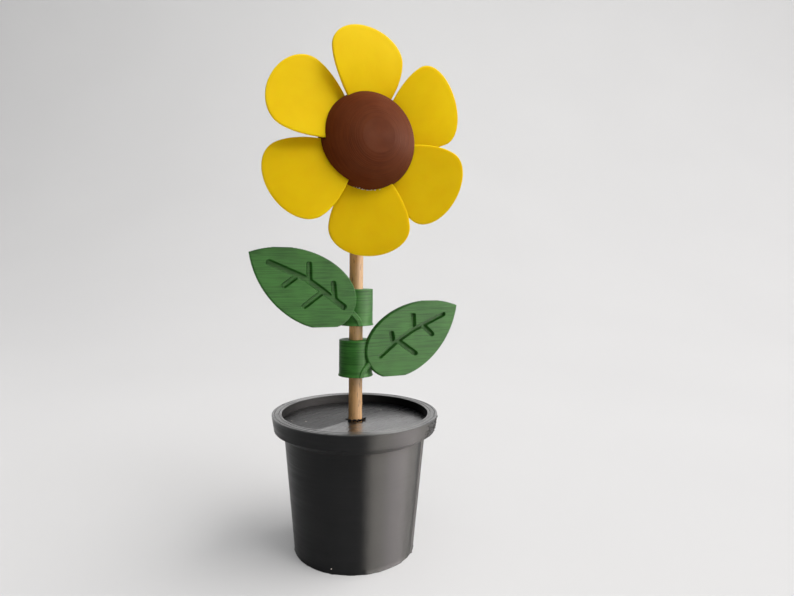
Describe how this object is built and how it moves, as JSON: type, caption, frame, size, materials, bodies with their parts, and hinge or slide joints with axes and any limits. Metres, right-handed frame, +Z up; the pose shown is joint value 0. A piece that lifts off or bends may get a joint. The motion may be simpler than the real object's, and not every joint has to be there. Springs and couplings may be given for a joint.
{
  "type": "3-D printed toy sunflower in a pot",
  "caption": "Printed toy sunflower: flat petals plug into a domed centre on a wooden dowel with two clip-on leaves, standing in a tapered pot closed by a plate.",
  "frame": {"origin": "on the table, at the centre of the pot's underside, on the axis of the stem", "axes": "+Z up along the stem; the flower faces -Y; the upper leaf reaches to -X and the lower leaf to +X"},
  "size_m": [0.1234, 0.0966, 0.2943],
  "materials": {
    "black_plastic": "black PLA print, satin, with fine horizontal layers",
    "dowel_wood": "bare sanded hardwood dowel with fine dark flecks along the grain",
    "green_plastic": "leaf-green PLA print, satin, with horizontal layers",
    "brown_plastic": "dark brown PLA print, satin, with ring-shaped layers",
    "yellow_plastic": "warm yellow PLA print, satin, slightly translucent"
  },
  "bodies": {
    "root": {"pot": "black_plastic", "soil_plate": "black_plastic", "stem": "dowel_wood", "leaf_upper": "green_plastic", "leaf_lower": "green_plastic", "flower_centre": "brown_plastic", "petal_1": "yellow_plastic", "petal_2": "yellow_plastic", "petal_3": "yellow_plastic", "petal_4": "yellow_plastic", "petal_5": "yellow_plastic", "petal_6": "yellow_plastic"}
  },
  "joints": []
}
